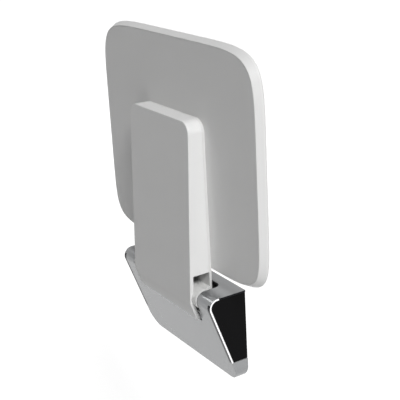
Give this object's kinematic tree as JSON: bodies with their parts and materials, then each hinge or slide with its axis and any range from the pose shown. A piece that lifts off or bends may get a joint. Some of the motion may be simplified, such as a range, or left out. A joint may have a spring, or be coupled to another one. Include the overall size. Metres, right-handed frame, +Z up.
{
  "type": "fold down wall seat",
  "caption": "Moulded seat on a hollow hooked arm that folds down from a metal wall bracket on a horizontal shaft.",
  "frame": {"origin": "middle of the four wall holes, on the wall plane", "axes": "+X along the wall to the viewer's right, +Y into the wall, +Z up"},
  "size_m": [0.4136, 0.066, 0.4989],
  "materials": {
    "plate_steel": "zinc plated steel",
    "shell_metal": "satin polished",
    "cap_plastic": "gloss black moulding",
    "cast_metal": "raw die casting",
    "screw_steel": "stainless steel",
    "stop_rubber": "matt black rubber",
    "leaf_metal": "white powder coat",
    "bush_plastic": "natural acetal",
    "seat_plastic": "satin white moulding"
  },
  "bodies": {
    "bracket": {"wall_plate": "plate_steel", "bracket_housing": "shell_metal", "left_end_cap": "cap_plastic", "right_end_cap": "cap_plastic", "left_bearing_block": "cast_metal", "right_bearing_block": "cast_metal", "bearing_screws": "screw_steel", "hinge_shaft": "screw_steel", "shaft_rings": "screw_steel", "thrust_washers": "screw_steel", "stop_block": "stop_rubber", "stop_screws": "screw_steel", "housing_screws": "screw_steel"},
    "seat": {"hinge_leaf": "leaf_metal", "left_bush": "bush_plastic", "right_bush": "bush_plastic", "arm_housing": "seat_plastic", "arm_screws": "screw_steel", "seat_base": "seat_plastic", "seat_top": "seat_plastic", "seat_screws": "screw_steel"}
  },
  "joints": [
    {"name": "seat_fold", "type": "hinge", "parent": "bracket", "child": "seat", "pos_m": [0, -0.0476, 0.054], "axis": [1, 0, 0], "range_deg": [0, 90]}
  ]
}
